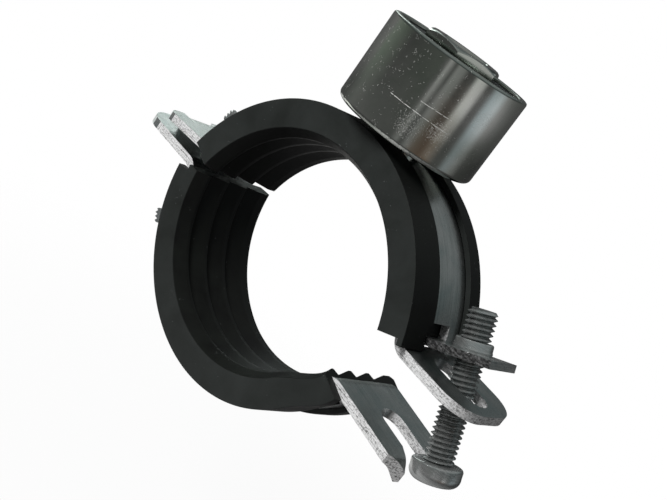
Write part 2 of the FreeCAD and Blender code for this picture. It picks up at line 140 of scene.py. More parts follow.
def mix_shaders(tree, share, a, b):
    node = tree.nodes.new("ShaderNodeMixShader")
    for socket, source in zip(node.inputs, (share, a, b)):
        link(tree, source, socket)
    return node.outputs[0]


def white_rays(tree, mirror_share):
    """How white the background shows: fully for the camera and glass, in part for mirrors."""
    path = tree.nodes.new("ShaderNodeLightPath")
    seen = math_node(tree, "MAXIMUM", path.outputs["Is Camera Ray"], path.outputs["Is Transmission Ray"])
    mirrored = math_node(tree, "MULTIPLY", path.outputs["Is Glossy Ray"], mirror_share)
    return math_node(tree, "MAXIMUM", seen, mirrored)


print("node helpers ready")

# %% Room
world = bpy.data.worlds.new("studio_room")
world.use_nodes = True
room = world.node_tree
room.nodes.clear()
room_place = room.nodes.new("ShaderNodeTexCoord")
room_parts = room.nodes.new("ShaderNodeSeparateXYZ")
link(room, room_place.outputs["Generated"], room_parts.inputs[0])
compass = math_node(room, "ARCTAN2", room_parts.outputs["Y"], room_parts.outputs["X"])
compass = math_node(room, "MULTIPLY_ADD", compass, 0.5 / math.pi, 0.5)
# Each stripe is a compass angle in degrees and the grey or colour of the room there.
STRIPES = [(-180, 0.20), (-168, (0.19, 0.22, 0.19)), (-150, (0.13, 0.15, 0.13)), (-128, 0.065),
           (-70, (0.08, 0.09, 0.08)), (-64, 0.10), (-61, 0.48), (-57, 0.26), (-52, 0.08), (-47, 0.30),
           (-38, 0.24), (-31, 0.06), (-21, 0.09), (-14, 0.68), (-4, 0.52), (3, 0.08), (11, 0.10),
           (20, (0.32, 0.37, 0.39)), (34, (0.42, 0.46, 0.48)), (46, 0.24), (60, 0.15), (85, 0.09),
           (120, 0.05), (128, 0.09), (134, 0.07), (165, 0.15), (180, 0.20)]
LOW_STRIPES = [(-180, 0.10), (-160, 0.16), (-140, 0.13), (-110, 0.11), (-70, 0.09), (-61, 0.22),
               (-54, 0.06), (-46, 0.22), (-36, (0.14, 0.11, 0.09)), (-24, (0.12, 0.08, 0.06)),
               (-12, (0.19, 0.14, 0.11)), (2, 0.08), (12, 0.09), (22, (0.24, 0.27, 0.29)), (36, 0.20),
               (50, 0.06), (85, 0.03), (180, 0.09)]
ROOM_GREY = (0.16, 0.16, 0.16)
PAPER_WHITE = (1.3, 1.3, 1.26)
height = math_node(room, "MULTIPLY_ADD", room_parts.outputs["Z"], 0.5, 0.5)


def stripes(levels):
    return ramp_node(room, compass, [((angle + 180.0) / 360.0, level) for angle, level in levels])


def room_patch(round_stops, rise_stops):
    """A patch of the room, from stops round the compass and stops up the height."""
    return math_node(room, "MULTIPLY", ramp_node(room, compass, round_stops),
                     ramp_node(room, height, rise_stops))


low = ramp_node(room, height, [(0.432, 1.0), (0.452, 0.0)])
horizon = mix_node(room, low, stripes(STRIPES), stripes(LOW_STRIPES))
ceiling = ramp_node(room, height, [(0.0, 0.06), (0.57, 0.045), (0.655, (0.045, 0.055, 0.055)),
                                   (0.69, (0.15, 0.18, 0.18)), (0.80, (0.24, 0.26, 0.26)), (1.0, 0.30)])
upper_share = ramp_node(room, height, [(0.30, 1.0), (0.38, 0.0), (0.56, 0.0), (0.61, 1.0)])
mirrored_room = mix_node(room, upper_share, horizon, ceiling)
pane = room_patch([(0.862, 0.0), (0.874, 1.0), (0.920, 1.0), (0.945, 0.0)],
                  [(0.56, 0.0), (0.575, 1.0), (0.65, 1.0), (0.69, 0.0)])
pane_colour = ramp_node(room, height, [(0.592, (0.22, 0.28, 0.25)), (0.625, (2.8, 3.1, 3.0))])
mirrored_room = mix_node(room, pane, mirrored_room, pane_colour)
paper = room_patch([(0.02, 1.0), (0.06, 0.0), (0.80, 0.0), (0.85, 1.0)],
                   [(0.12, 0.0), (0.18, 1.0), (0.28, 1.0), (0.31, 0.0)])
mirrored_room = mix_node(room, paper, mirrored_room, PAPER_WHITE)
room_path = room.nodes.new("ShaderNodeLightPath")
room_colour = mix_node(room, room_path.outputs["Is Glossy Ray"], ROOM_GREY, mirrored_room)
room_light = room.nodes.new("ShaderNodeBackground")
link(room, room_colour, room_light.inputs["Color"])
room_white = room.nodes.new("ShaderNodeBackground")
room_white.inputs["Color"].default_value = (1.0, 1.0, 1.0, 1.0)
room_seen = mix_shaders(room, white_rays(room, 0.01), room_light.outputs[0], room_white.outputs[0])
link(room, room_seen, room.nodes.new("ShaderNodeOutputWorld").inputs["Surface"])
bpy.context.scene.world = world
bpy.context.scene.view_settings.view_transform = "Standard"
print("room with", len(STRIPES), "stripes")

# %% [markdown]
# One soft lamp, high in front and to the left, lights the rubber and the sheared edges. It
# is hidden from mirrors, because the cup would show it as a white patch.

# %% Soft box
def soft_box(name, place, aim, wide, high, watts):
    """A rectangular lamp at a place, turned to shine at a point."""
    lamp = bpy.data.lights.new(name, "AREA")
    lamp.shape = "RECTANGLE"
    lamp.size = wide
    lamp.size_y = high
    lamp.energy = watts
    box = bpy.data.objects.new(name, lamp)
    bpy.context.scene.collection.objects.link(box)
    box.location = place
    box.rotation_euler = (Vector(aim) - Vector(place)).to_track_quat("-Z", "Y").to_euler()
    return box


clamp_middle = (0.0, 0.0, -0.045)
key_box = soft_box("key_box", (-0.14, -0.46, 0.36), clamp_middle, 0.34, 0.22, 6.0)
key_box.visible_glossy = False
print("soft box:", key_box.name)

# %% [markdown]
# The floor is a round of pale board that fades out into the white room, so that it keeps
# the clamp's soft shadow but shows no edge, and it is clear when seen from below. It lies
# 42 mm under the clamp, because the lower half reaches that far down when it is open.

# %% Floor board
def settle(name):
    """Names the primitive that was just added, and puts its place into its mesh."""
    piece = bpy.context.object
    piece.name = name
    bpy.ops.object.transform_apply(location=True, rotation=True, scale=True)
    return piece


bpy.ops.object.select_all(action="DESELECT")
SWING_DEPTH = 0.042
FADE_START, FADE_END = 0.11, 0.22
BOARD_GLOW = 0.94
board_height = cad_box[0][2] - SWING_DEPTH
bpy.ops.mesh.primitive_grid_add(x_subdivisions=4, y_subdivisions=4, size=0.5,
                                location=(0.0, 0.0, board_height))
floor_board = settle("floor_board")
board_paint = bpy.data.materials.new("board_paint")
board_paint.use_nodes = True
tree = board_paint.node_tree
board_shader = tree.nodes["Principled BSDF"]
board_shader.inputs["Roughness"].default_value = 0.9
board_shader.inputs["Base Color"].default_value = (0.50, 0.50, 0.50, 1.0)
board_glow = tree.nodes.new("ShaderNodeEmission")
board_glow.inputs["Color"].default_value = (1.0, 1.0, 1.0, 1.0)
board_share = math_node(tree, "MULTIPLY", white_rays(tree, 0.03), BOARD_GLOW)
board_seen = mix_shaders(tree, board_share, board_shader.outputs[0], board_glow.outputs[0])
board_place = tree.nodes.new("ShaderNodeTexCoord")
board_reach = tree.nodes.new("ShaderNodeVectorMath")
board_reach.operation = "LENGTH"
link(tree, board_place.outputs["Object"], board_reach.inputs[0])
board_fade = ramp_node(tree, board_reach.outputs["Value"], [(FADE_START, 0.0), (FADE_END, 1.0)], "EASE")
board_clear = tree.nodes.new("ShaderNodeBsdfTransparent")
board_side = tree.nodes.new("ShaderNodeNewGeometry")
board_gone = math_node(tree, "MAXIMUM", board_fade, board_side.outputs["Backfacing"])
board_seen = mix_shaders(tree, board_gone, board_seen, board_clear.outputs[0])
link(tree, board_seen, tree.nodes["Material Output"].inputs["Surface"])
floor_board.data.materials.append(board_paint)
print("board at", round(board_height, 4))

# %% [markdown]
# ## Working by hand, in code
# Each new piece starts as a single point that is pulled from corner to corner of its
# outline, as one does with the extrude key. The outline is then filled, spun or extruded.
# A few helpers do the picking, because an operator acts on all that is selected.

# %% Helpers for picking and drawing
def pick(*pieces):
    if bpy.context.mode != "OBJECT":
        bpy.ops.object.mode_set(mode="OBJECT")
    bpy.ops.object.select_all(action="DESELECT")
    for piece in pieces:
        piece.select_set(True)
        bpy.context.view_layer.objects.active = piece


def edit_all(piece):
    """Opens a piece in edit mode with all of it selected."""
    pick(piece)
    bpy.ops.object.mode_set(mode="EDIT")
    bpy.ops.mesh.select_all(action="SELECT")


def draw_outline(name, points, finish="face"):
    """A chain of edges pulled out from one point, in metres, left open, closed or filled."""
    pick()
    bpy.ops.mesh.primitive_plane_add(size=0.001, location=points[0])
    piece = settle(name)
    edit_all(piece)
    bpy.ops.mesh.merge(type="CENTER")
    for a, b in zip(points, points[1:]):
        step = Vector(b) - Vector(a)
        bpy.ops.mesh.extrude_region_move(TRANSFORM_OT_translate={"value": step})
    if finish == "loop":
        bpy.ops.mesh.extrude_region_move(
            TRANSFORM_OT_translate={"value": Vector(points[0]) - Vector(points[-1])})
        bpy.ops.mesh.select_all(action="SELECT")
        bpy.ops.mesh.remove_doubles(threshold=0.0000005)
    bpy.ops.mesh.select_all(action="SELECT")
    if finish == "face":
        bpy.ops.mesh.edge_face_add()
    bpy.ops.object.mode_set(mode="OBJECT")
    return piece


def soften_corners(piece, width):
    """Rounds the corners of a drawn outline before it is spun or extruded."""
    edit_all(piece)
    bpy.ops.mesh.bevel(offset=width, segments=2, affect="VERTICES", clamp_overlap=True)
    bpy.ops.object.mode_set(mode="OBJECT")


DOUBLES_GAP = 0.000002


def tidy_mesh(piece):
    """Merges doubles, turns the faces outward and counts the points of open edges."""
    edit_all(piece)
    bpy.ops.mesh.select_mode(type="VERT")
    bpy.ops.mesh.select_all(action="SELECT")
    bpy.ops.mesh.remove_doubles(threshold=DOUBLES_GAP)
    bpy.ops.mesh.normals_make_consistent(inside=False)
    bpy.ops.mesh.select_all(action="DESELECT")
    bpy.ops.mesh.select_non_manifold()
    bpy.ops.object.mode_set(mode="OBJECT")
    loose = sum(v.select for v in piece.data.vertices)
    print(piece.name, "faces", len(piece.data.polygons), "open points", loose)
    return piece


def spin_piece(piece, centre, axis, degrees, steps):
    edit_all(piece)
    bpy.ops.mesh.spin(steps=steps, angle=math.radians(degrees), center=centre, axis=axis)
    bpy.ops.object.mode_set(mode="OBJECT")
    return tidy_mesh(piece)


def extrude_outline(name, points, way):
    """A flat outline pulled out into a closed block."""
    piece = draw_outline(name, points)
    edit_all(piece)
    bpy.ops.mesh.extrude_region_move(TRANSFORM_OT_translate={"value": way})
    bpy.ops.object.mode_set(mode="OBJECT")
    return tidy_mesh(piece)


def add_and_apply(piece, kind, **values):
    pick(piece)
    modifier = piece.modifiers.new(kind.lower(), kind)
    for name, value in values.items():
        setattr(modifier, name, value)
    bpy.ops.object.modifier_apply(modifier=modifier.name)
    return piece


def combine(piece, tool, operation):
    """A Boolean of two closed pieces; the tool is removed afterwards."""
    add_and_apply(piece, "BOOLEAN", operation=operation, object=tool, solver="EXACT")
    bpy.data.objects.remove(tool, do_unlink=True)
    return piece


def round_edges(piece, width, degrees):
    """Breaks every edge that is sharper than an angle."""
    add_and_apply(piece, "BEVEL", width=width, segments=2, limit_method="ANGLE",
                  angle_limit=math.radians(degrees), use_clamp_overlap=True)
    return smooth(piece)


def smooth(piece, degrees=32.0):
    pick(piece)
    bpy.ops.object.shade_smooth_by_angle(angle=math.radians(degrees))
    return piece


def crisp(piece):
    """Large faces keep their own normals, so that bevels don't bend the light on them."""
    return add_and_apply(piece, "WEIGHTED_NORMAL", keep_sharp=True, weight=80)


def join_pieces(main, *others):
    pick(*others, main)
    bpy.ops.object.join()
    return main


print("helpers ready")

# %% [markdown]
# ## The rubber linings
# Each half shell wears a moulded rubber channel. Its side walls cover the strip's edges,
# a wide lip lies over the front of the strip and a narrow one over its back, and four
# ribs run round the inside to grip the pipe. Such a profile is extruded and bent round the
# strip, so here one section is drawn, its corners are softened and it is spun about the
# centre of its half. At the ends the lips stop first, then the walls, then the ribs. Each
# stretch is a closed solid, and they are set end to end: a Boolean of shapes that share
# their faces would leave open edges.

# %% Lining sections
NUT_TOP = 58.9  # height above the clamp's centre of the nut's top face, where the frame has its zero
STRIP_ROOM = 2.05  # the strip's thickness with a little play
LINING = {"half": 12.0, "deep": 7.8, "lip": 1.3, "front": 8.6, "back": 4.0, "wall": 10.05}
UPPER_RING = {"outer": 38.95, "centre": (0.0, -2.95)}
LOWER_RING = {"outer": 35.1, "centre": (-3.8, 5.26)}


def ribs(bore):
    """The inner side of the section: four crests at the bore, and the grooves between them."""
    half = LINING["half"]
    root = bore + 1.35
    points = [(bore + 1.5, -half), (bore, -half + 2.9), (bore, -half + 3.6), (root, -half + 4.4)]
    points += [(bore, -3.6), (bore, -2.6), (root, -1.7), (bore, 2.4), (bore, 3.4), (root, 4.3)]
    return points + [(bore, 8.6), (bore, half - 1.2), (bore + 0.8, half)]


def lining_outline(outer, stretch):
    """The section of one stretch; "short lips" leaves room for the nut plate beside it."""
    half, wall = LINING["half"], LINING["wall"]
    seat = outer - LINING["lip"]
    inside = seat - STRIP_ROOM
    points = ribs(outer - LINING["deep"])
    if stretch == "ribs":
        return points + [(inside, half), (inside, -half)]
    if stretch == "walls":
        return points + [(outer, half), (outer, wall), (inside, wall), (inside, -wall),
                         (outer, -wall), (outer, -half)]
    if stretch == "front lip":
        return [(outer, -half), (outer, -4.4), (seat, -4.4), (seat, -half)]
    points += [(outer, half), (outer, half - LINING["back"]), (seat, half - LINING["back"])]
    points += [(seat, wall), (inside, wall), (inside, -wall), (seat, -wall)]
    front = 7.0 if stretch == "short lips" else LINING["front"]
    return points + [(seat, front - half), (outer, front - half), (outer, -half)]


def place_on_ring(ring, radius, along, degrees):
    cx, cz = ring["centre"]
    turn = math.radians(degrees)
    x, z = cx + radius * math.cos(turn), cz - NUT_TOP + radius * math.sin(turn)
    return (MM * x, MM * along, MM * z)


LINING_CORNER = 0.00022
STEP_DEGREES = 1.6


def spun_stretch(name, ring, stretch, start, end):
    outline = [place_on_ring(ring, r, y, start) for r, y in lining_outline(ring["outer"], stretch)]
    piece = draw_outline(name, outline)
    soften_corners(piece, LINING_CORNER)
    centre = place_on_ring(ring, 0.0, 0.0, 0.0)
    steps = max(4, int((end - start) / STEP_DEGREES))
    return spin_piece(piece, centre, (0.0, 1.0, 0.0), end - start, steps)


def lining(name, ring, stretches):
    """Closed stretches set end to end; each covers its neighbour's end."""
    made = [spun_stretch(name, ring, *stretch) for stretch in stretches]
    return smooth(join_pieces(*made), 28.0)


upper_rubber = lining("upper_rubber", UPPER_RING,
                      [("lips", 27.5, 161.0), ("short lips", 22.2, 27.5),
                       ("front lip", 20.2, 22.2), ("walls", 161.0, 164.8), ("ribs", 164.8, 165.8)])
lower_rubber = lining("lower_rubber", LOWER_RING,
                      [("lips", 195.0, 334.0), ("walls", 334.0, 342.0), ("walls", 187.5, 195.0),
                       ("ribs", 185.0, 187.5)])

# %% [markdown]
# At the closure the steel strip turns sharply outward, and the soft rubber on it is pulled
# along: its inner ribs bend outward over the last twelve millimetres. That is a pull on the
# end's inner points with proportional editing, so that the pull fades out along the ring.

# %% Bend the lower lining's end
PULL, PULL_REACH = (0.0033, 0.0, -0.0010), 0.012
RIB_REACH = 32.4


def pull_points(piece, chosen, move, reach):
    """Moves the chosen points, and those within reach of them ever less."""
    pick(piece)
    for part in (piece.data.vertices, piece.data.edges, piece.data.polygons):
        part.foreach_set("select", [False] * len(part))
    for vertex in piece.data.vertices:
        vertex.select = chosen(vertex.co)
    print(piece.name, "pulls", sum(v.select for v in piece.data.vertices), "points")
    bpy.ops.object.mode_set(mode="EDIT")
    bpy.ops.mesh.select_mode(type="VERT")
    bpy.ops.transform.translate(value=move, use_proportional_edit=True,
                                proportional_edit_falloff="SMOOTH", proportional_size=reach)
    bpy.ops.object.mode_set(mode="OBJECT")


def ring_polar(ring, point):
    """A point's distance in millimetres and angle in degrees from the centre of a ring."""
    cx, cz = ring["centre"]
    x, z = point.x / MM - cx, point.z / MM + NUT_TOP - cz
    return math.hypot(x, z), math.degrees(math.atan2(z, x)) % 360.0


def at_closure_end(point):
    radius, angle = ring_polar(LOWER_RING, point)
    return radius < RIB_REACH and abs(point.y) < 0.0121 and 341.0 < angle < 343.0


pull_points(lower_rubber, at_closure_end, PULL, PULL_REACH)
smooth(lower_rubber, 28.0)

# %% Seat the linings
def stand_for(piece, body, *nodes):
    crisp(piece)
    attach(piece, body)
    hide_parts(*nodes)
    print(piece.name, "rides on", body)


stand_for(upper_rubber, "upper_half", "upper_lining")
stand_for(lower_rubber, "lower_half", "lower_lining")

# %% [markdown]
# ## The boss
# The boss is a deep-drawn steel cup with a rolled edge, welded to the shell on a short
# neck. It is round about the rod, so half of its section is drawn once and spun a full
# turn. The bead of weld round the neck is a ring of uneven width.

# %% Cup
def ring_piece(name, points):
    """A section of (radius, height) points, in millimetres, spun about the rod's axis."""
    outline = [(MM * r, 0.0, MM * (z - NUT_TOP)) for r, z in points]
    piece = draw_outline(name, outline, "open" if points[0][0] == 0.0 else "loop")
    return spin_piece(piece, (0.0, 0.0, 0.0), (0.0, 0.0, 1.0), 360.0, 96)


CROWN = 34.7
CUP = {"radius": 16.25, "base": CROWN + 2.6, "top": CROWN + 22.7, "wall": 2.0, "corner": 1.15}
NECK = 5.25
side, base, top, wall, corner = (CUP[key] for key in ("radius", "base", "top", "wall", "corner"))
cup_section = [(0.0, CROWN), (NECK, CROWN), (NECK, base)]
for step in range(0, 7):
    turn = math.radians(-90.0 + 15.0 * step)
    cup_section.append((side - corner + corner * math.cos(turn), base + corner + corner * math.sin(turn)))
cup_section += [(side, base + corner + 0.4), (side, top - 0.8), (side, top - 0.45),
                (side - 0.15, top - 0.12), (side - 0.45, top), (side - 1.6, top),
                (side - 1.9, top - 0.2), (side - wall, top - 0.6), (side - wall, base + wall),
                (0.0, base + wall)]
cup = ring_piece("cup", cup_section)
smooth(cup, 35.0)

# %% Weld bead
pick()
bpy.ops.mesh.primitive_torus_add(major_radius=MM * 5.35, minor_radius=MM * 0.7,
                                 major_segments=72, minor_segments=14,
                                 location=(0.0, 0.0, MM * (base - 0.35 - NUT_TOP)))
weld_bead = settle("weld_bead")
for vertex in weld_bead.data.vertices:
    turn = math.atan2(vertex.co.y, vertex.co.x)
    ripple = 1.0 + 0.035 * math.sin(9.0 * turn) + 0.03 * math.sin(23.0 * turn + 1.3)
    vertex.co.x *= ripple
    vertex.co.y *= ripple
smooth(weld_bead, 60.0)
cup = join_pieces(cup, weld_bead)
stand_for(cup, "upper_half", "boss_cup")

# %% [markdown]
# ## The rod nut and its damper
# An M10 nut sits in a rubber ring inside the cup, so that the rod passes no noise on. The
# nut is a six-sided block whose corners are taken off by a cone: the block is cut against
# a spun blank. No face of a cutting tool lies in a face of the block, because a Boolean of
# such faces can leave holes. The thread is a saw-tooth of one pitch, screwed up the bore.

# %% Thread maker
THREAD_DEPTH = 0.6134  # of a metric thread, as a share of its pitch


def thread_body(name, major, pitch, low, high, steps=32):
    """A closed threaded rod about the Z axis, in millimetres, longer than from low to high."""
    root = major - THREAD_DEPTH * pitch
    profile = [(root, 0.0), (root, 0.14 * pitch), (major - 0.05, 0.47 * pitch), (major, 0.5 * pitch),
               (major, 0.6 * pitch), (major - 0.05, 0.63 * pitch), (root, 0.96 * pitch), (root, pitch)]
    outline = [(MM * r, 0.0, MM * (low - 2.0 * pitch + z)) for r, z in profile]
    rod = draw_outline(name, outline, "open")
    turns = int((high - low) / pitch) + 4
    add_and_apply(rod, "SCREW", axis="Z", angle=math.radians(360.0), screw_offset=MM * pitch,
                  iterations=turns, steps=steps, render_steps=steps, use_merge_vertices=False)
    edit_all(rod)
    bpy.ops.mesh.select_mode(type="VERT")
    bpy.ops.mesh.select_all(action="SELECT")
    bpy.ops.mesh.remove_doubles(threshold=DOUBLES_GAP)
    bpy.ops.mesh.select_all(action="DESELECT")
    bpy.ops.mesh.select_non_manifold(extend=False, use_wire=False, use_multi_face=False,
                                     use_non_contiguous=False, use_verts=False)
    bpy.ops.mesh.fill_holes(sides=0)
    bpy.ops.object.mode_set(mode="OBJECT")
    return tidy_mesh(rod)


def z_blank(name, points, steps=64):
    """A spun solid about the Z axis from (radius, height) points in millimetres."""
    piece = draw_outline(name, [(MM * r, 0.0, MM * z) for r, z in points], "open")
    return spin_piece(piece, (0.0, 0.0, 0.0), (0.0, 0.0, 1.0), 360.0, steps)


# %% Nut
NUT_FLATS = 16.0
pick()
bpy.ops.mesh.primitive_cylinder_add(vertices=6, radius=MM * NUT_FLATS / math.sqrt(3.0), depth=0.010,
                                    location=(0.0, 0.0, -0.005), rotation=(0.0, 0.0, math.radians(30.0)))
rod_nut = settle("rod_nut")
blank_section = [(0.0, -11.0), (9.6, -11.0), (9.6, -0.95), (7.166, 0.3), (0.0, 0.3)]
combine(rod_nut, z_blank("nut_blank", blank_section, 96), "INTERSECT")
bore = z_blank("nut_bore_tool", [(0.0, -12.0), (5.0, -12.0), (5.0, -10.4), (4.45, -9.6),
                                 (4.45, -1.0), (5.35, 0.06), (5.35, 1.0), (0.0, 1.0)])
combine(rod_nut, bore, "DIFFERENCE")
groove = thread_body("nut_thread_tool", 5.03, 1.5, -10.2, 0.4, 40)
combine(rod_nut, groove, "DIFFERENCE")
tidy_mesh(rod_nut)
round_edges(rod_nut, 0.00012, 28.0)
stand_for(rod_nut, "upper_half", "boss_nut")

# %% Damper
seat_low = NUT_TOP - 10.0
damper_section = [(7.0, base + wall), (14.2, base + wall), (14.2, top - 1.1), (13.9, top - 0.8),
                  (9.4, top - 0.8), (9.25, top - 1.0), (9.25, seat_low), (7.0, seat_low)]
damper = ring_piece("damper", damper_section)
smooth(damper, 30.0)
stand_for(damper, "upper_half", "boss_damper")

# %% [markdown]
# ## The clamp screw
# An M6 pan head screw, thirty millimetres long. The thread is the same saw-tooth screwed
# up the shank and then cut against a blank with a small chamfer at its end. The head is
# spun, and its cross recess is cut with two crossed tapered blades. The finished screw is
# then turned and moved to where the closure holds it.

# %% Closure place
PLATE_TILT = 24.0
FLANGE_TOP, PIVOT_IN, PIVOT_RISE = 10.25, 4.05, 1.65
along_plate = Matrix.Translation((MM * 8.5, 0.0, 0.0))
pivot = Vector((UPPER_RING["outer"] - PIVOT_IN, 0.0, FLANGE_TOP + PIVOT_RISE - NUT_TOP)) * MM
closure = Matrix.Translation(pivot) @ Matrix.Rotation(math.radians(-PLATE_TILT), 4, "Y")
screw_place = closure @ along_plate
print("plate turns about", tuple(round(v, 4) for v in pivot))


def move_piece(piece, matrix):
    pick(piece)
    piece.matrix_world = matrix
    bpy.ops.object.transform_apply(location=True, rotation=True, scale=True)
    return piece


# %% Screw
screw_end, screw_low = 9.0, -21.0
HEAD_RADIUS, HEAD_HIGH, HEAD_CORNER = 5.1, 4.0, 2.0
shank = thread_body("closing_screw", 3.0, 1.0, screw_low, screw_end)
shank_section = [(0.0, screw_low - 0.5), (3.05, screw_low - 0.5), (3.05, screw_end - 0.75),
                 (2.3, screw_end), (0.0, screw_end)]
combine(shank, z_blank("shank_blank", shank_section), "INTERSECT")
head_section = [(0.0, screw_low - HEAD_HIGH), (2.6, screw_low - HEAD_HIGH)]
for step in range(0, 8):
    turn = math.radians(-78.0 + 12.5 * step)
    head_section.append((HEAD_RADIUS - HEAD_CORNER + HEAD_CORNER * math.cos(turn),
                         screw_low - HEAD_CORNER + HEAD_CORNER * math.sin(turn)))
head_section += [(HEAD_RADIUS, screw_low - 0.5), (4.95, screw_low - 0.15), (4.7, screw_low),
                 (0.0, screw_low)]
head = z_blank("screw_head", head_section)
for turn in (0.0, 90.0):
    pick()
    bpy.ops.mesh.primitive_cube_add(size=1.0, location=(0.0, 0.0, MM * (screw_low - HEAD_HIGH + 0.7)))
    bpy.context.object.dimensions = (MM * 5.4, MM * 1.15, MM * 3.4)
    blade = settle("recess_blade")
    for vertex in blade.data.vertices:
        if vertex.co.z > MM * (screw_low - 3.0):
            vertex.co.x *= 0.45
            vertex.co.y *= 0.8
    blade.rotation_euler = (0.0, 0.0, math.radians(turn))
    bpy.ops.object.transform_apply(location=True, rotation=True, scale=True)
    combine(head, blade, "DIFFERENCE")
round_edges(head, 0.00012, 30.0)
smooth(shank, 25.0)
closing_screw = join_pieces(shank, head)
move_piece(closing_screw, screw_place)
stand_for(closing_screw, "clamp_screw", "clamp_screw")

# %% [markdown]
# ## The nut plate
# A stamped plate hooks into a window of the shell and carries a short drawn collar, which
# holds the screw's thread. The plate is cut from thick sheet, so it is an outline pulled
# out to its thickness, and its edges get a small break all round.

# %% Plate
PLATE_THICK, COLLAR_RADIUS = 1.6, 3.95
plate_corners = [(-1.3, -3.6), (1.9, -3.6), (1.9, -4.8), (15.8, -4.8), (15.8, 4.8), (1.9, 4.8),
                 (1.9, 3.6), (-1.3, 3.6)]
plate_outline = [(MM * x, MM * y, -MM * PLATE_THICK / 2) for x, y in plate_corners]
screw_plate = extrude_outline("screw_plate", plate_outline, (0.0, 0.0, MM * PLATE_THICK))
collar = z_blank("plate_collar", [(0.0, 0.0), (3.8, 0.0), (3.8, 0.9), (COLLAR_RADIUS, 1.3), (3.8, 1.6),
                                  (3.75, 2.7), (3.6, 3.0), (0.0, 3.0)])
combine(screw_plate, move_piece(collar, along_plate), "UNION")
opening = z_blank("plate_bore_tool", [(0.0, -2.0), (3.35, -2.0), (3.35, -0.8), (3.06, -0.5),
                                      (3.06, 2.7), (3.3, 3.0), (3.3, 4.0), (0.0, 4.0)])
combine(screw_plate, move_piece(opening, along_plate), "DIFFERENCE")
tidy_mesh(screw_plate)
round_edges(screw_plate, 0.00018, 35.0)
move_piece(screw_plate, closure)
stand_for(screw_plate, "nut_plate", "nut_plate")

# %% [markdown]
# ## The folded half shells
# Each half is one strip of steel, 20 by 2 mm, bent to its shape, with a flange or a fork at
# one end and a hinge flange at the other. CAD has its exact shape with razor sharp edges.
# A sheared strip has a small break along every edge that catches the light, so a copy of
# each solid gets that break with a bevel. The fork's two tips are also clipped at a slant,
# and a small toothed lug of the strip bites over the lining's edge on each half.

# %% Half shells
def node_copy(name, node):
    """A copy of a CAD solid, with its loose triangles merged and its flat faces made whole."""
    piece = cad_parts[node].copy()
    piece.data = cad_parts[node].data.copy()
    bpy.context.scene.collection.objects.link(piece)
    piece.name = piece.data.name = name
    edit_all(piece)
    bpy.ops.mesh.remove_doubles(threshold=0.000001)
    bpy.ops.mesh.dissolve_limited(angle_limit=math.radians(0.4), use_dissolve_boundaries=False)
    bpy.ops.object.mode_set(mode="OBJECT")
    return piece


LUG = [(-1.7, -2.3), (1.7, -2.3), (1.7, 1.2), (1.2, 1.8), (0.8, 1.1), (0.3, 2.0), (-0.2, 1.3),
       (-0.6, 2.2), (-1.1, 1.4), (-1.5, 1.9), (-1.7, 1.3)]


def lug(name, ring, angle, front, back):
    """A serrated lug of sheet, standing on the strip's edge at an angle of its ring."""
    turn = math.radians(angle)
    points = []
    for side, rise in LUG:
        x, y, z = place_on_ring(ring, ring["outer"] + rise, front, angle)
        points.append((x - MM * side * math.sin(turn), y, z + MM * side * math.cos(turn)))
    piece = extrude_outline(name, points, (0.0, MM * (back - front), 0.0))
    return round_edges(piece, 0.00018, 30.0)


upper_strip = node_copy("upper_strip", "upper_band")
lower_strip = node_copy("lower_strip", "lower_band")
SLANT = ((46.8, 10.4), (53.0, 10.4), (53.0, 1.8))
for hand in (-1.0, 1.0):
    corners = [(MM * x, hand * MM * y, MM * (-13.0 - NUT_TOP)) for x, y in SLANT]
    combine(lower_strip, extrude_outline("slant_tool", corners, (0.0, 0.0, MM * 9.0)), "DIFFERENCE")
for strip in (upper_strip, lower_strip):
    tidy_mesh(strip)
    round_edges(strip, 0.00016, 30.0)
upper_strip = join_pieces(upper_strip, lug("upper_lug", UPPER_RING, 150.5, -10.8, -9.8))
lower_strip = join_pieces(lower_strip, lug("lower_lug", LOWER_RING, 208.5, -11.7, -10.6))
stand_for(upper_strip, "upper_half", "upper_band")
stand_for(lower_strip, "lower_half", "lower_band")

# %% [markdown]
# ## Shared effects
# Several finishes use the same small effects, so each is a node group with named inputs:
# specks of dirt or bare metal, fine rolled lines, and one scratch. A scratch is found by
# its distance from a plane, so that it follows a round surface.

# %% Group maker
def new_group(name, **inputs):
    """A group with a Vector, the named inputs and one Mask; a tuple makes a vector socket."""
    group = bpy.data.node_groups.new(name, "ShaderNodeTree")
    group.interface.new_socket(name="Vector", in_out="INPUT", socket_type="NodeSocketVector")
    for label, value in inputs.items():
        kind = "NodeSocketVector" if isinstance(value, tuple) else "NodeSocketFloat"
        socket = group.interface.new_socket(name=label.replace("_", " "), in_out="INPUT", socket_type=kind)
        socket.default_value = value
    group.interface.new_socket(name="Mask", in_out="OUTPUT", socket_type="NodeSocketFloat")
    return group, group.nodes.new("NodeGroupInput"), group.nodes.new("NodeGroupOutput")


def noise_node(tree, vector, scale, detail=2.0, rough=0.5, distortion=0.0):
    node = tree.nodes.new("ShaderNodeTexNoise")
    node.inputs["Detail"].default_value = detail
    node.inputs["Roughness"].default_value = rough
    node.inputs["Distortion"].default_value = distortion
    link(tree, vector, node.inputs["Vector"])
    feed(tree, scale, node.inputs["Scale"])
    return node.outputs["Fac"]


def vector_node(tree, operation, *values):
    node = tree.nodes.new("ShaderNodeVectorMath")
    node.operation = operation
    for value, socket in zip(values, node.inputs):
        feed(tree, value, socket)
    return node.outputs["Value"] if operation in ("LENGTH", "DOT_PRODUCT") else node.outputs[0]


def use_group(tree, group, vector, **values):
    node = tree.nodes.new("ShaderNodeGroup")
    node.node_tree = group
    link(tree, vector, node.inputs["Vector"])
    for label, value in values.items():
        node.inputs[label.replace("_", " ")].default_value = value
    return node.outputs[0]


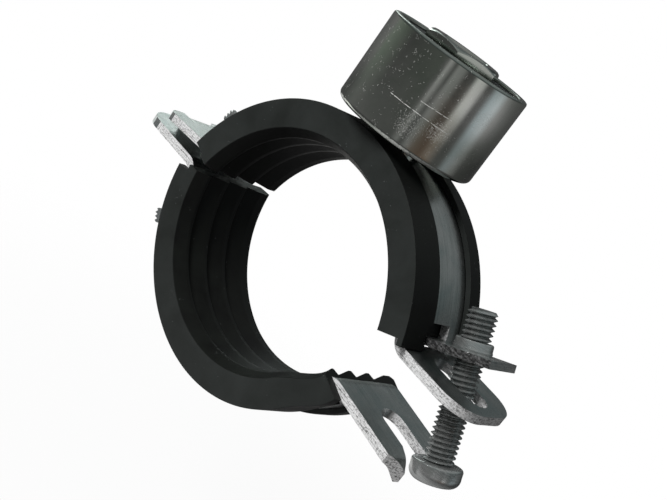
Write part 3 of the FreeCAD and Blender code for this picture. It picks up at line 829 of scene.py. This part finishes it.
# %% Specks
specks, start, end = new_group("specks", Scale=900.0, Spread=0.62)
cells = specks.nodes.new("ShaderNodeTexVoronoi")
link(specks, start.outputs["Vector"], cells.inputs["Vector"])
link(specks, start.outputs["Scale"], cells.inputs["Scale"])
dots = math_node(specks, "LESS_THAN", cells.outputs["Distance"], 0.20)
cloud_scale = math_node(specks, "MULTIPLY", start.outputs["Scale"], 0.21)
cloud = noise_node(specks, start.outputs["Vector"], cloud_scale, 3.0, 0.6)
dense = math_node(specks, "GREATER_THAN", cloud, start.outputs["Spread"])
link(specks, math_node(specks, "MULTIPLY", dots, dense), end.inputs["Mask"])

# %% Rolled lines
rolled, start, end = new_group("rolled_lines", Stretch=(60.0, 4000.0, 60.0))
drawn = vector_node(rolled, "MULTIPLY", start.outputs["Vector"], start.outputs["Stretch"])
link(rolled, noise_node(rolled, drawn, 1.0, 3.0, 0.6), end.inputs["Mask"])

# %% One scratch
scratch, start, end = new_group("scratch", Middle=(0.0, 0.0, 0.0), Along=(1.0, 0.0, 0.0),
                                Across=(0.0, 0.0, 1.0), Half_Length=0.004, Half_Width=0.00005)
wobble = noise_node(scratch, start.outputs["Vector"], 500.0, 2.0)
wobble = math_node(scratch, "MULTIPLY_ADD", wobble, 0.00016, -0.00008)
offset = vector_node(scratch, "SUBTRACT", start.outputs["Vector"], start.outputs["Middle"])
aside = vector_node(scratch, "DOT_PRODUCT", offset, start.outputs["Across"])
aside = math_node(scratch, "ABSOLUTE", math_node(scratch, "ADD", aside, wobble))
run = math_node(scratch, "ABSOLUTE", vector_node(scratch, "DOT_PRODUCT", offset, start.outputs["Along"]))
thin = math_node(scratch, "LESS_THAN", aside, start.outputs["Half Width"])
short = math_node(scratch, "LESS_THAN", run, start.outputs["Half Length"])
broken = math_node(scratch, "GREATER_THAN", noise_node(scratch, start.outputs["Vector"], 1400.0, 2.0), 0.42)
line = math_node(scratch, "MULTIPLY", math_node(scratch, "MULTIPLY", thin, short), broken)
link(scratch, line, end.inputs["Mask"])
print("groups:", sorted(g.name for g in bpy.data.node_groups))

# %% [markdown]
# ## Zinc plated sheet
# The half shells, the plate and the screw are zinc plated. The plating is a slightly blue
# grey with greenish clouds, dulled by a fine frost, over the fine lines of rolled sheet.
# Where the strip was sheared, on its front and back edges, the surface is torn: paler,
# rough and full of sparkling specks. The hinge end is painted paler still, a painted highlight
# where its flange catches the light; the plate's edges are darker, and the small parts have
# no torn edge. The screw's thread roots are painted dark: painted shade in the grooves.

# %% Zinc
def new_material(name):
    material = bpy.data.materials.new(name)
    material.use_nodes = True
    tree = material.node_tree
    place = tree.nodes.new("ShaderNodeTexCoord")
    return material, tree, tree.nodes["Principled BSDF"], place


def bump_into(tree, shader, height, strength, distance):
    bump = tree.nodes.new("ShaderNodeBump")
    bump.inputs["Strength"].default_value = strength
    bump.inputs["Distance"].default_value = distance
    link(tree, height, bump.inputs["Height"])
    link(tree, bump.outputs["Normal"], shader.inputs["Normal"])


FLANGE_START, HINGE_START = 0.0385, -0.0415


# The same mask marks the rubber's faces along the pipe, which are painted paler as painted light.
def sheared_and_painted_side_mask(tree, place, flanges=False):
    """One on faces that look along the pipe, and on the upright edges of the flanges."""
    parts = tree.nodes.new("ShaderNodeSeparateXYZ")
    link(tree, place.outputs["Normal"], parts.inputs[0])
    mask = ramp_node(tree, math_node(tree, "ABSOLUTE", parts.outputs["Y"]), [(0.55, 0.0), (0.8, 1.0)])
    if not flanges:
        return mask
    spot = tree.nodes.new("ShaderNodeSeparateXYZ")
    link(tree, place.outputs["Object"], spot.inputs[0])
    right = math_node(tree, "GREATER_THAN", spot.outputs["X"], FLANGE_START)
    left = math_node(tree, "LESS_THAN", spot.outputs["X"], HINGE_START)
    upright = ramp_node(tree, math_node(tree, "ABSOLUTE", parts.outputs["Z"]), [(0.25, 1.0), (0.45, 0.0)])
    beside = math_node(tree, "MULTIPLY", math_node(tree, "ADD", right, left), upright)
    return math_node(tree, "MAXIMUM", mask, beside)


def from_screw_axis(tree, spot):
    """The distance of a point from the closing screw's axis, in millimetres."""
    axis = tuple((screw_place.to_3x3() @ Vector((0.0, 0.0, 1.0))).normalized())
    offset = vector_node(tree, "SUBTRACT", spot, tuple(screw_place.translation))
    across = vector_node(tree, "CROSS_PRODUCT", offset, axis)
    return math_node(tree, "MULTIPLY", vector_node(tree, "LENGTH", across), 1.0 / MM)


SHEET_LINES, SMALL_LINES = (80.0, 5200.0, 80.0), (300.0, 600.0, 5600.0)
SHEET_STREAKS, SMALL_STREAKS = (160.0, 900.0, 5200.0), (700.0, 900.0, 3000.0)
SCREW_ROOT = 2.3


def plated(name, cut_stops, cut_bare, flanges=False, threaded=False):
    """Zinc plate; cut_stops colour the sheared faces, and cut_bare is how matt they are."""
    material, tree, shader, place = new_material(name)
    spot = place.outputs["Object"]
    clouds = noise_node(tree, spot, 130.0, 4.0, 0.6, 0.4)
    tint = ramp_node(tree, clouds, [(0.34, (0.33, 0.40, 0.40)), (0.50, (0.45, 0.48, 0.47)),
                                    (0.66, (0.58, 0.59, 0.58))])
    lines = use_group(tree, rolled, spot, Stretch=SHEET_LINES if flanges else SMALL_LINES)
    tint = mix_node(tree, 0.4, tint, ramp_node(tree, lines, [(0.35, 0.28), (0.65, 0.70)]))
    frost = noise_node(tree, spot, 5200.0, 2.0, 0.7)
    rough = ramp_node(tree, frost, [(0.3, 0.24), (0.7, 0.40)] if cut_stops else [(0.3, 0.15), (0.7, 0.30)])
    relief = mix_node(tree, 0.5, frost, lines)
    shader.inputs["Metallic"].default_value = 1.0 if cut_stops else 0.86
    if cut_stops:
        cut = sheared_and_painted_side_mask(tree, place, flanges)
        stretched = vector_node(tree, "MULTIPLY", spot, SHEET_STREAKS if flanges else SMALL_STREAKS)
        streaks = noise_node(tree, stretched, 1.0, 3.0, 0.7, 0.6)
        dents = noise_node(tree, spot, 2300.0, 3.0, 0.7)
        torn = mix_node(tree, 0.5, streaks, dents)
        tint = mix_node(tree, cut, tint, ramp_node(tree, torn, cut_stops))
        rough = mix_node(tree, cut, rough, ramp_node(tree, torn, [(0.35, 0.60), (0.65, 0.38)]))
        relief = mix_node(tree, cut, relief, torn)
        bare = math_node(tree, "MULTIPLY_ADD", cut, -cut_bare, 1.0)
        link(tree, bare, shader.inputs["Metallic"])
    grime_and_thread_shade = use_group(tree, specks, spot, Scale=3800.0, Spread=0.58)
    grime_and_thread_shade = math_node(tree, "MULTIPLY", grime_and_thread_shade, 0.6)
    # Painted shade: the roots of the screw's thread are painted dark, on top of the dirt specks.
    if threaded:
        above_root = math_node(tree, "MULTIPLY_ADD", from_screw_axis(tree, spot), 1.0, -SCREW_ROOT)
        thread_root_shade = ramp_node(tree, above_root, [(0.05, 0.5), (0.42, 0.0)])
        grime_and_thread_shade = math_node(tree, "MAXIMUM", grime_and_thread_shade, thread_root_shade)
    tint = mix_node(tree, grime_and_thread_shade, tint, (0.06, 0.065, 0.06))
    link(tree, tint, shader.inputs["Base Color"])
    link(tree, rough, shader.inputs["Roughness"])
    bump_into(tree, shader, relief, 0.4, 0.00006)
    return material


zinc = plated("zinc_sheet", [(0.39, 0.06), (0.45, 0.50), (0.54, 0.92)], 0.65, flanges=True)
# A paler copy of the sheet finish for the hinge end: a painted highlight where the flange catches the light.
zinc_hinge_painted_highlight = plated("zinc_hinge_painted_highlight", [(0.28, 0.30), (0.40, 0.66), (0.54, (0.82, 0.90, 0.87))], 0.55,
                    flanges=True)
zinc_plate = plated("zinc_plate", [(0.42, 0.05), (0.50, 0.16), (0.60, 0.50)], 0.2)
zinc_small = plated("zinc_small_parts", None, 0.0)
zinc_screw = plated("zinc_screw", None, 0.0, threaded=True)
print("zinc finishes:", [m.name for m in (zinc, zinc_hinge_painted_highlight, zinc_plate, zinc_small, zinc_screw)])

# %% [markdown]
# ## Bright steel
# The boss and its nut are polished and plated. The cup mirrors the room almost cleanly,
# so its detail is in what breaks the mirror: faint turning lines, tiny specks of dust, two
# long scratches and three scuffed patches on its side, and a duller outer rim. Two pale
# patches are painted highlights: a spot high on its side, and its lower corner.

# %% Bright
def on_boss(turn, height):
    """A place on the cup's side, at an angle from X and a height above the clamp's centre."""
    angle, radius = math.radians(turn), MM * CUP["radius"]
    return (radius * math.cos(angle), radius * math.sin(angle), MM * (height - NUT_TOP))


def scratch_between(tree, vector, a, b, width):
    a, b = Vector(a), Vector(b)
    along = (b - a).normalized()
    outward = Vector(((a.x + b.x) / 2, (a.y + b.y) / 2, 0.0)).normalized()
    across = along.cross(outward).normalized()
    middle = (a + b) / 2
    return use_group(tree, scratch, vector, Middle=tuple(middle), Along=tuple(along), Across=tuple(across),
                     Half_Length=(b - a).length / 2, Half_Width=width)


# A scratch runs from one place to another and has a half width. A scuff has an angle, a
# height, a reach in millimetres and a threshold, which is higher where flecks are fewer.
SCRATCHES = [(on_boss(-79.0, 45.1), on_boss(-28.7, 45.0), 0.00005),
             (on_boss(-58.0, 47.3), on_boss(-33.0, 47.5), 0.00004)]
SCUFFS = [(-56.0, 42.5, 6.5, 0.87), (-36.0, 44.2, 5.0, 0.83), (-12.0, 50.5, 5.5, 0.84)]
HIGHLIGHT_SPOT_REACH = 8.0
OUTSIDE = 0.0135  # |x| + |y|, in metres, beyond which a point is outside the nut
CORNER_SCALE = 31.0  # brings |x| + |y| at the cup's side to between 0.50 and 0.71
bright, tree, shader, place = new_material("bright_steel")
spot = place.outputs["Object"]
turned = use_group(tree, rolled, spot, Stretch=(25.0, 25.0, 3800.0))
haze = noise_node(tree, spot, 160.0, 4.0, 0.6)
tone = ramp_node(tree, haze, [(0.32, (0.45, 0.49, 0.44)), (0.62, (0.55, 0.57, 0.53))])
# Painted highlight: a pale spot high on the cup's side, where it shows a broad highlight.
painted_highlight_spot = vector_node(tree, "LENGTH", vector_node(tree, "SUBTRACT", spot, on_boss(-13.0, 51.5)))
painted_highlight_spot = ramp_node(tree, math_node(tree, "DIVIDE", painted_highlight_spot, MM * HIGHLIGHT_SPOT_REACH), [(0.25, 0.8), (1.0, 0.0)], "EASE")
tone = mix_node(tree, painted_highlight_spot, tone, (0.92, 0.93, 0.90))
dust = use_group(tree, specks, spot, Scale=4600.0, Spread=0.60)
grit = use_group(tree, specks, spot, Scale=5600.0, Spread=0.55)
marks_and_painted_highlight = dust
for a, b, width in SCRATCHES:
    marks_and_painted_highlight = math_node(tree, "MAXIMUM", marks_and_painted_highlight, scratch_between(tree, spot, a, b, width))
for turn, height, reach, threshold in SCUFFS:
    reached = vector_node(tree, "LENGTH", vector_node(tree, "SUBTRACT", spot, on_boss(turn, height)))
    fading = ramp_node(tree, math_node(tree, "DIVIDE", reached, MM * reach), [(0.2, 1.0), (1.0, 0.0)], "EASE")
    ragged = math_node(tree, "MULTIPLY_ADD", fading, 0.24, noise_node(tree, spot, 6000.0, 2.0, 0.8))
    marks_and_painted_highlight = math_node(tree, "MAXIMUM", marks_and_painted_highlight, math_node(tree, "GREATER_THAN", ragged, threshold))
parts = tree.nodes.new("ShaderNodeSeparateXYZ")
link(tree, spot, parts.inputs[0])
near_top = math_node(tree, "MULTIPLY_ADD", parts.outputs["Z"], 1.0 / MM, NUT_TOP - CUP["top"] + 1.0)
rim = ramp_node(tree, near_top, [(0.5, 0.0), (0.7, 1.0)])
outer = math_node(tree, "ADD", math_node(tree, "ABSOLUTE", parts.outputs["X"]),
                  math_node(tree, "ABSOLUTE", parts.outputs["Y"]))
rim = math_node(tree, "MULTIPLY", rim, math_node(tree, "GREATER_THAN", outer, OUTSIDE))
# Painted highlight: the cup's lower corner is painted pale in patches. The marks below carry it together with
# the real dust, scratches and scuffs.
level = math_node(tree, "MULTIPLY_ADD", parts.outputs["Z"], 1.0 / MM, NUT_TOP - CUP["base"])
painted_corner_highlight = ramp_node(tree, level, [(0.15, 0.0), (0.3, 1.0), (0.75, 1.0), (1.1, 0.0)])
at_side = ramp_node(tree, math_node(tree, "MULTIPLY", outer, CORNER_SCALE), [(0.60, 0.0), (0.68, 1.0)])
painted_corner_highlight = math_node(tree, "MULTIPLY", painted_corner_highlight, at_side)
patchy = ramp_node(tree, noise_node(tree, spot, 700.0, 3.0, 0.6), [(0.36, 0.0), (0.52, 1.0)])
painted_corner_highlight = math_node(tree, "MULTIPLY", math_node(tree, "MULTIPLY", painted_corner_highlight, patchy), 0.8)
marks_and_painted_highlight = math_node(tree, "MAXIMUM", marks_and_painted_highlight, painted_corner_highlight)
colour = mix_node(tree, math_node(tree, "MULTIPLY", marks_and_painted_highlight, 0.7), tone, (0.93, 0.93, 0.90))
colour = mix_node(tree, math_node(tree, "MULTIPLY", grit, 0.5), colour, (0.14, 0.13, 0.12))
link(tree, colour, shader.inputs["Base Color"])
link(tree, math_node(tree, "MULTIPLY_ADD", marks_and_painted_highlight, -0.8, 1.0), shader.inputs["Metallic"])
smear = ramp_node(tree, haze, [(0.35, 0.07), (0.7, 0.16)])
smear = mix_node(tree, rim, smear, (0.24, 0.24, 0.24))
link(tree, mix_node(tree, marks_and_painted_highlight, smear, (0.6, 0.6, 0.6)), shader.inputs["Roughness"])
bump_into(tree, shader, mix_node(tree, 0.5, turned, noise_node(tree, spot, 900.0, 3.0)), 0.05, 0.00003)
print("bright steel with", len(SCRATCHES), "scratches and", len(SCUFFS), "scuffs")

# %% [markdown]
# ## Rubber
# The lining is moulded from a matt black rubber. It is never quite black: the skin is a
# dark grey with a faint bloom, and a few pale grains of dust cling to it. The faces along the
# pipe, front and back, are painted a little paler, which is painted light.

# %% Rubber
def rubber_material(name, dark, pale, painted_side_light, dusty):
    """Matt black rubber, with a paler tone painted on the faces along the pipe: painted light."""
    material, tree, shader, place = new_material(name)
    spot = place.outputs["Object"]
    bloom = noise_node(tree, spot, 110.0, 5.0, 0.62, 0.3)
    skin = ramp_node(tree, bloom, [(0.32, dark), (0.68, pale)])
    # Painted light: the faces along the pipe are painted in the paler side tone.
    skin = mix_node(tree, sheared_and_painted_side_mask(tree, place), skin, mix_node(tree, bloom, pale, painted_side_light))
    grains = use_group(tree, specks, spot, Scale=2200.0, Spread=dusty)
    skin = mix_node(tree, math_node(tree, "MULTIPLY", grains, 0.5), skin, (0.16, 0.17, 0.17))
    link(tree, skin, shader.inputs["Base Color"])
    shader.inputs["Specular IOR Level"].default_value = 0.22
    grain = noise_node(tree, spot, 4200.0, 3.0, 0.65)
    rough = ramp_node(tree, mix_node(tree, 0.5, grain, bloom), [(0.35, 0.44), (0.65, 0.62)])
    link(tree, rough, shader.inputs["Roughness"])
    bump_into(tree, shader, mix_node(tree, 0.35, grain, bloom), 0.30, 0.00008)
    return material


# The third colour is painted light on the lining's faces along the pipe.
lining_rubber = rubber_material("lining_rubber", (0.003, 0.003, 0.003), (0.007, 0.008, 0.007),
                                (0.029, 0.032, 0.031), 0.66)
damper_rubber = rubber_material("damper_rubber", (0.004, 0.004, 0.004), (0.009, 0.009, 0.009),
                                (0.009, 0.009, 0.009), 0.64)
print("rubbers:", lining_rubber.name, damper_rubber.name)

# %% [markdown]
# ## Dressing the pieces
# A piece may wear several finishes, each in a slot of its own, and every face says which
# slot it shows. Faces are picked by their place: the lug and the hinge end of each strip,
# and the collar of the plate.

# %% Dress the pieces
def wear(piece, *materials):
    piece.data.materials.clear()
    for material in materials:
        piece.data.materials.append(material)


FINISHES = ((upper_rubber, lining_rubber), (lower_rubber, lining_rubber), (cup, bright),
            (rod_nut, bright), (damper, damper_rubber), (closing_screw, zinc_screw),
            (upper_strip, zinc, zinc_small, zinc_hinge_painted_highlight), (lower_strip, zinc, zinc_small, zinc_hinge_painted_highlight),
            (screw_plate, zinc_plate, zinc_small))
for piece, *materials in FINISHES:
    wear(piece, *materials)
SMALL_SLOT, HINGE_SLOT = 1, 2
HINGE_END, LUG_BACK, LUG_ROOT = -0.040, -0.0097, 2.4
for piece, ring in ((upper_strip, UPPER_RING), (lower_strip, LOWER_RING)):
    for face in piece.data.polygons:
        radius, angle = ring_polar(ring, face.center)
        if face.center.x < HINGE_END:
            face.material_index = HINGE_SLOT
        if face.center.y < LUG_BACK and radius > ring["outer"] - LUG_ROOT and 145.0 < angle < 215.0:
            face.material_index = SMALL_SLOT
for face in screw_plate.data.polygons:
    near = screw_place.inverted() @ face.center
    if math.hypot(near.x, near.y) < MM * COLLAR_RADIUS:
        face.material_index = SMALL_SLOT
print("dressed:", len(bpy.data.materials), "materials")
